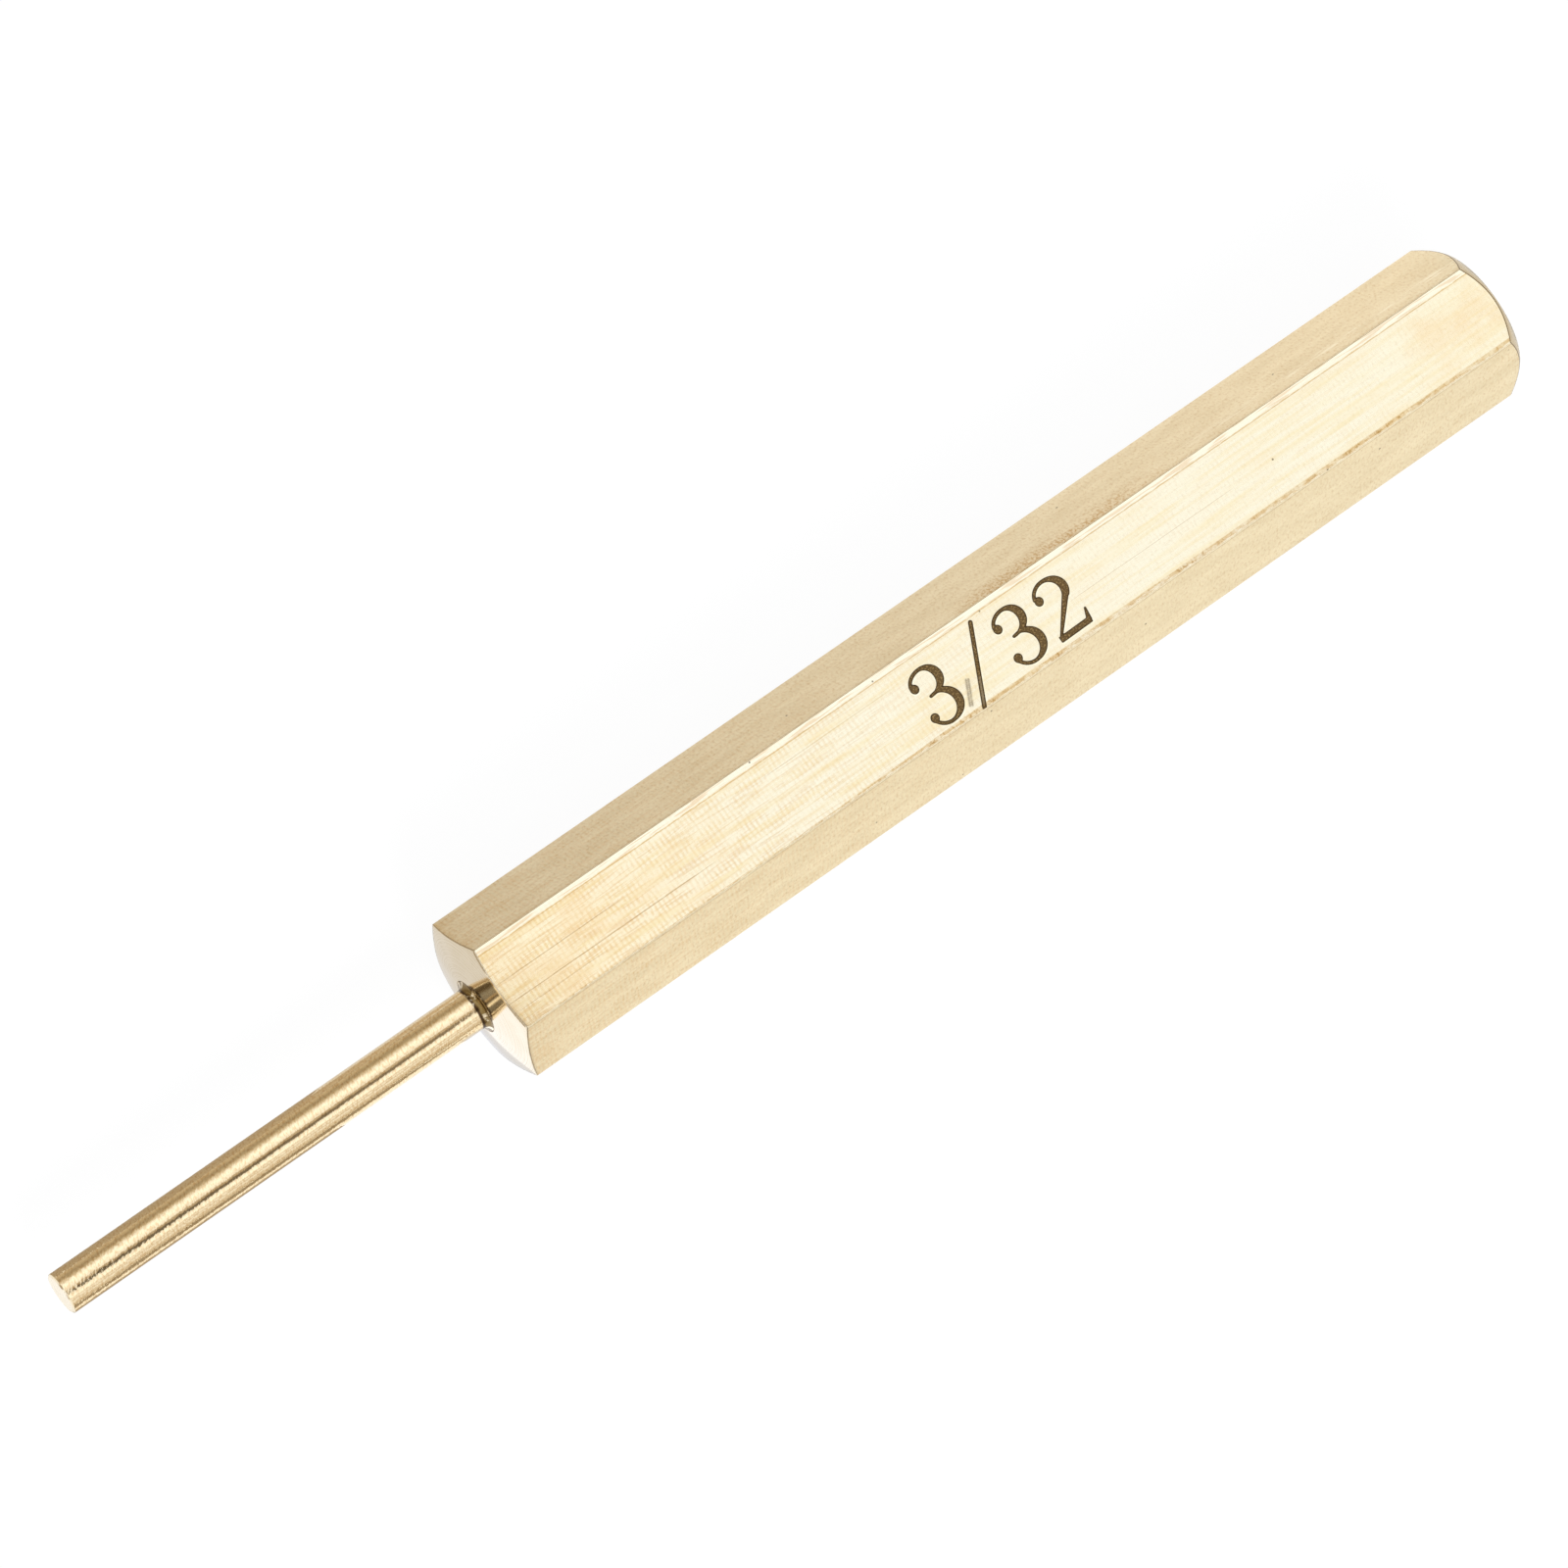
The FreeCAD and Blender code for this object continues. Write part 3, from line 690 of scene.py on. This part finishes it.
def makeHexBody(s, materials):
    # The outline carried along the axis as rings, from the bore's end out over the front and back
    # to the struck face. On the crown a point falls back as on a sphere, and on the chamfer as on
    # a cone, by its reach from the axis.
    y, z, skin = hexOutline(s)
    reach = np.hypot(y, z)
    crown = s["crownRadius"]
    mouthX = bodyLow.x
    crownX = mouthX - (crown - math.sqrt(crown ** 2 - tangRadius ** 2))
    struckX = bodyHigh.x
    slope = 1 / math.tan(math.radians(s["chamferAngle"]))
    frontX = crownX + crown - np.sqrt(crown ** 2 - reach ** 2)
    backX = struckX - (reach - s["struckFaceRadius"]) * slope
    soft = s["edgeBreak"]

    x, r, kind = [], [], []

    def addRow(rowX, rowR, material):
        x.append(np.broadcast_to(rowX, reach.shape))
        r.append(np.broadcast_to(rowR, reach.shape))
        kind.append(material)

    boreEnd = pinHigh.x + s["boreRunOut"]
    for rowX in (boreEnd, (boreEnd + mouthX) / 2, mouthX + 2 * soft):
        addRow(rowX, tangRadius, 1)
    mouth = tangRadius + soft
    for share in np.linspace(0, 1, s["crownRings"]):
        ringR = mouth + (reach - soft - mouth) * share
        addRow(crownX + crown - np.sqrt(crown ** 2 - ringR ** 2), ringR, 1)
    for turn in np.radians((30, 60)):  # the crown's edge, rounded over
        addRow(frontX + soft * (1 - math.cos(turn)), reach - soft * (1 - math.sin(turn)), 1)
    markLow, markHigh = s["markX"]
    firstX, lastX = frontX.max() + 3 * soft, backX.min() - 3 * soft
    stations = np.concatenate([
        spread(firstX, markLow, s["rowStep"])[:-1], spread(markLow, markHigh, s["markStep"]),
        spread(markHigh, lastX, s["rowStep"])[1:],
    ])
    addRow(frontX + soft, reach, 0)
    flatStart = len(x)
    for rowX in stations:
        addRow(rowX, reach, 0)
    flatEnd = len(x)
    addRow(backX - soft, reach, 1)
    outer, inner = reach - soft * 0.5, s["struckFaceRadius"] + soft * 0.5
    addRow(backX + soft * 0.5, outer, 1)
    for ringR in ((outer + inner) / 2, inner):
        addRow(struckX - (ringR - s["struckFaceRadius"]) * slope, ringR, 1)
    for share in s["faceRings"]:
        addRow(struckX, (s["struckFaceRadius"] - soft) * (1 - share), 1)

    x, r = np.array(x), np.array(r)
    rowY, rowZ = r * y / reach, r * z / reach
    points = np.stack([x, rowY, rowZ + axisHeight], -1)

    # the mark: the flat sinks to a gritty floor inside the numerals
    distance = np.full(x.shape, 1.0)
    onFlat = (skin > 3 * flatWidth) & (skin < 4 * flatWidth)
    patch = np.ix_(np.arange(flatStart, flatEnd), np.flatnonzero(onFlat))
    distance[patch] = markDistance(x[patch], rowY[patch], sizeMark) / mm
    scuff = np.zeros(x.shape)
    scuff[patch] = scuffShare(x[patch], rowY[patch], sizeMark)
    grit = np.random.default_rng(7).uniform(0.75, 1.1, x.shape)
    wall = sizeMark["wall"] / mm
    points[..., 2] -= sizeMark["depth"] * grit * smoothStep(-distance, -wall / 2, wall / 2)

    wrap = np.append(skin, skin[0] + 6 * flatWidth) / mm
    wrapUv = np.stack(np.broadcast_arrays(np.concatenate([x, x[:, :1]], 1) / mm, wrap), -1)
    drill = boreEnd + tangRadius / math.tan(math.radians(s["drillPoint"] / 2))
    poles = np.array([[drill, 0, axisHeight], [struckX, 0, axisHeight]])
    values = {
        "markEdge": np.clip(distance, -0.3, 0.3), "scuff": scuff,
        "fromFront": (x - frontX) / mm, "fromStruck": (backX - x) / mm,
    }
    piece = closedSurface("hexBody", points, wrapUv, np.array(kind), poles, values)
    for material in materials:
        piece.data.materials.append(material)
    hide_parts("hex_body")
    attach(piece, "root")
    return piece


def makePin(s, materials):
    # a profile turned round the axis: flat tip, broken edge, shank, a quarter circle of flare, tang
    radius = tangRadius - s["rootFlare"]
    tipX, endX, mouthX = pinLow.x, pinHigh.x, bodyLow.x
    flareX = mouthX - s["rootFlare"]
    turn = np.radians(np.linspace(0, 90, s["flareRings"]))
    length = spread(tipX + s["tipBreak"], flareX, s["rowStep"])[:-1]
    tipRings = np.array(s["tipRings"])
    x = np.concatenate([
        np.full(len(tipRings), tipX), length,
        flareX + s["rootFlare"] * np.sin(turn), [endX - s["tangLead"], endX],
    ])
    r = np.concatenate([
        (radius - s["tipBreak"]) * tipRings, np.full(len(length), radius),
        tangRadius - s["rootFlare"] * np.cos(turn), [tangRadius, tangRadius - s["tangLead"]],
    ])
    kind = np.zeros(len(x), int)
    kind[:len(tipRings)] = 1
    angle = np.linspace(0, 2 * math.pi, s["columns"] + 1)
    ring = angle[:-1]
    points = np.stack([
        np.broadcast_to(x[:, None], (len(x), len(ring))),
        r[:, None] * np.cos(ring), r[:, None] * np.sin(ring) + axisHeight,
    ], -1)
    wrapUv = np.stack(np.broadcast_arrays(x[:, None] / mm, angle * radius / mm), -1)
    poles = np.array([[tipX, 0, axisHeight], [endX, 0, axisHeight]])
    piece = closedSurface("punchPin", points, wrapUv, kind, poles, {})
    for material in materials:
        piece.data.materials.append(material)
    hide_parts("punch_pin")
    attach(piece, "root")
    return piece


drawnBrass, facedBrass = makeDrawnBrass(drawnBrassLook), makeFacedBrass(facedBrassLook)
pinBrass = makePinBrass(pinBrassLook)
print("brass: drawn, faced and turned")
bar = makeHexBody(hexBody, [drawnBrass, facedBrass])
print(f"hex body: {len(bar.data.polygons)} faces")
pin = makePin(turnedPin, [pinBrass, facedBrass])
print(f"punch pin: {len(pin.data.polygons)} faces")


studio = {
    "floorSize": 4.0, "floorWhite": "#F4F4F2",
    "floorSeen": 0.94, "floorMirrored": 0.35,  # share of plain white that the camera and the metal see
    # brightness of the sky by degrees round the bar's line, from straight up toward the near side
    "sky": [
        (-180, 0.7), (-90, 0.58), (-78, 0.50), (-65, 0.36), (-55, 0.45), (-45, 0.76), (-36, 1.10),
        (-29, 1.34), (-16, 1.30), (-5, 1.08), (12, 1.04), (28, 1.08), (38, 1.32), (45, 1.30),
        (50, 0.74), (56, 1.16), (62, 0.70), (69, 1.12), (76, 0.72), (82, 0.80), (88, 0.5), (180, 0.7),
    ],
    "brightTint": (0.97, 1.01, 1.10), "darkTint": (1.10, 0.93, 0.70),  # of the sky's light and dark parts
    "tintLevels": (0.5, 1.1),  # all dark tint up to the first, all bright from the second
    # the gap over the tip, for the pin's image in the front face: how dark, where it opens and
    # closes along X, and the bright strip that bridges it, in degrees
    "gapDepth": 0.75, "gapOpens": (-0.85, -0.65), "gapCloses": (-0.08, 0.14), "bridge": (30, 46, 4),
    "keyPlace": (-0.10, -0.42, 0.36), "keySize": 0.25, "keyPower": 2.8,
    "warm": (1.06, 0.90, 0.71), "dull": (1.02, 0.995, 0.98), "cool": (0.97, 1.0, 1.10),
    # cards on the floor and over the pin that only shiny metal sees: low corner, high corner,
    # height, brightness at the tip's end and at the struck end, tint
    "flags": {
        "slotFlag": ((-42 * mm, -9.8 * mm), (-15 * mm, -4.2 * mm), 25 * mm, (0.12, 0.26), "warm"),
        "slotVeil": ((-42 * mm, -4.2 * mm), (-15 * mm, -0.6 * mm), 25 * mm, (0.50, 0.56), "warm"),
        "nearFlag": ((-46 * mm, -40 * mm), (-18 * mm, -11.5 * mm), -0.010 * mm, (0.36, 0.36), "warm"),
        "nearBack": ((-36 * mm, -150 * mm), (24 * mm, -40 * mm), -0.010 * mm, (0.36, 0.36), "warm"),
        "edgeFlag": ((-46 * mm, -5.8 * mm), (-28 * mm, -0.9 * mm), -0.010 * mm, (0.46, 0.46), "warm"),
        "farFlag": ((-46 * mm, 2.0 * mm), (-28 * mm, 45 * mm), -0.008 * mm, (0.42, 0.46), "warm"),
        "rootFlag": ((-28 * mm, 7.0 * mm), (-17 * mm, 45 * mm), -0.008 * mm, (0.50, 0.62), "warm"),
        "farBack": ((-34 * mm, 45 * mm), (140 * mm, 500 * mm), -0.008 * mm, (0.42, 0.50), "warm"),
        "shadeFlag": ((-18 * mm, 4.8 * mm), (50 * mm, 45 * mm), -0.010 * mm, (0.78, 1.14), "dull"),
        "faceCard": ((-28 * mm, -7.0 * mm), (-20.4 * mm, -1.0 * mm), -0.010 * mm, (1.2, 1.2), "cool"),
        "duskCard": ((-28 * mm, -1.0 * mm), (-19.0 * mm, 7.0 * mm), -0.010 * mm, (0.78, 0.78), "dull"),
        "rimCard": ((-20.4 * mm, -7.0 * mm), (-19.0 * mm, -1.0 * mm), -0.010 * mm, (0.84, 0.84), "cool"),
    },
}


def makeSheet(name, low, high, height):
    # a flat rectangle in the studio, between two corners (x, y)
    mesh = bpy.data.meshes.new(name)
    corners = [(low[0], low[1]), (high[0], low[1]), (high[0], high[1]), (low[0], high[1])]
    mesh.from_pydata([(x, y, height) for x, y in corners], [], [(0, 1, 2, 3)])
    return linkNew(bpy.data.objects.new(name, mesh))


def makeFloor(s):
    half = s["floorSize"] / 2
    floor = makeSheet("floor", (-half, -half), (half, half), -0.02 * mm)
    material = bpy.data.materials.new("paleFloor")
    tree = emptyTree(material)
    path = add(tree, "LightPath")
    bounced = calc(tree, "MAXIMUM", path.outputs["Is Glossy Ray"], path.outputs["Is Transmission Ray"])
    seen = times(tree, path.outputs["Is Camera Ray"], s["floorSeen"])
    share = calc(tree, "MAXIMUM", seen, times(tree, bounced, s["floorMirrored"]))
    matt = add(tree, "BsdfDiffuse", {"Color": tone(s["floorWhite"])})
    shine = add(tree, "Emission", {"Color": (1, 1, 1, 1), "Strength": 1.0})
    mix = add(tree, "MixShader", {0: share, 1: matt.outputs[0], 2: shine.outputs[0]})
    tree.links.new(mix.outputs[0], add(tree, "OutputMaterial").inputs[0])
    floor.data.materials.append(material)
    return floor


def makeFlag(name, low, high, height, levels, tint):
    # a card that only shiny metal sees, for the lights and darks in its reflections
    flag = makeSheet(name, low, high, height)
    material = bpy.data.materials.new(name)
    tree = emptyTree(material)
    along = add(tree, "SeparateXYZ", {0: add(tree, "TexCoord").outputs["Object"]}).outputs[0]
    level = ramp(tree, along, low[0], high[0], *levels, smooth=False)
    glow = add(tree, "Emission", {"Color": (*studio[tint], 1.0), "Strength": level})
    tree.links.new(glow.outputs[0], add(tree, "OutputMaterial").inputs[0])
    flag.data.materials.append(material)
    flag.visible_camera = flag.visible_diffuse = False
    flag.visible_transmission = flag.visible_shadow = False
    return flag


def makeWorld(s):
    # the lights round the punch as metal sees them: brightness by the angle round the X axis.
    # What is mirrored twice also sees the dark gap. The camera sees plain white.
    world = bpy.data.worlds.new("studio")
    bpy.context.scene.world = world
    tree = emptyTree(world)
    direction = add(tree, "TexCoord").outputs["Generated"]
    dx, dy, dz = add(tree, "SeparateXYZ", {0: direction}).outputs
    angle = calc(tree, "DEGREES", calc(tree, "ARCTAN2", times(tree, dy, -1.0), dz))
    colours = add(tree, "ValToRGB", {0: ramp(tree, angle, -180, 180, smooth=False)})
    band = colours.color_ramp
    while len(band.elements) < len(s["sky"]):
        band.elements.new(0.5)
    allDark, allBright = s["tintLevels"]
    for element, (degrees, level) in zip(band.elements, s["sky"]):
        element.position = (degrees + 180) / 360
        share = min(max((level - allDark) / (allBright - allDark), 0), 1)
        tint = [dark + (bright - dark) * share for dark, bright in zip(s["darkTint"], s["brightTint"])]
        element.color = [level * part for part in tint] + [1]
    path = add(tree, "LightPath")
    # here Ray Depth is one more than the number of bounces, so 3 is mirrored twice
    twice = calc(tree, "GREATER_THAN", path.outputs["Ray Depth"], 2.5)
    gap = times(
        tree, ramp(tree, dx, *s["gapCloses"], 1.0, 0.0), ramp(tree, dx, *s["gapOpens"]),
        calc(tree, "SUBTRACT", 1.0, inBand(tree, angle, *s["bridge"])), twice, s["gapDepth"],
    )
    lit = add(tree, "Background", {"Color": colours.outputs[0], "Strength": calc(tree, "SUBTRACT", 1.0, gap)})
    seen = add(tree, "Background", {"Color": (1, 1, 1, 1), "Strength": 1.0})
    mix = add(tree, "MixShader", {0: path.outputs["Is Camera Ray"], 1: lit.outputs[0], 2: seen.outputs[0]})
    tree.links.new(mix.outputs[0], add(tree, "OutputWorld").inputs[0])


def makeLamp(name, spot, size, power):
    # a soft round lamp, aimed at the middle of the punch; the metal doesn't mirror it
    data = bpy.data.lights.new(name, "AREA")
    data.shape, data.size, data.energy = "DISK", size, power
    lamp = linkNew(bpy.data.objects.new(name, data))
    lamp.location = spot
    lamp.rotation_euler = (-Vector(spot)).to_track_quat("-Z", "Y").to_euler()
    lamp.visible_glossy = False
    return lamp


makeFloor(studio)
for flagName, flag in studio["flags"].items():
    makeFlag(flagName, *flag)
makeWorld(studio)
makeLamp("keyLamp", studio["keyPlace"], studio["keySize"], studio["keyPower"])
print("studio: floor, cards, sky and key lamp")

view = {
    "place": (-111.25 * mm, -0.50 * mm, 376.86 * mm),
    "turn": (9.747, -13.495, -35.916),  # degrees about X, Y and Z
    "lens": 176.06, "sensor": 36.0,
    "near": 0.01, "far": 20.0,
}
camera = linkNew(bpy.data.objects.new("camera", bpy.data.cameras.new("camera")))
camera.data.lens, camera.data.sensor_width = view["lens"], view["sensor"]
camera.data.clip_start, camera.data.clip_end = view["near"], view["far"]
camera.location = view["place"]
camera.rotation_mode = "XYZ"
camera.rotation_euler = [math.radians(angle) for angle in view["turn"]]
bpy.context.scene.camera = camera
bpy.context.scene.view_settings.view_transform = "Standard"
print("camera placed")
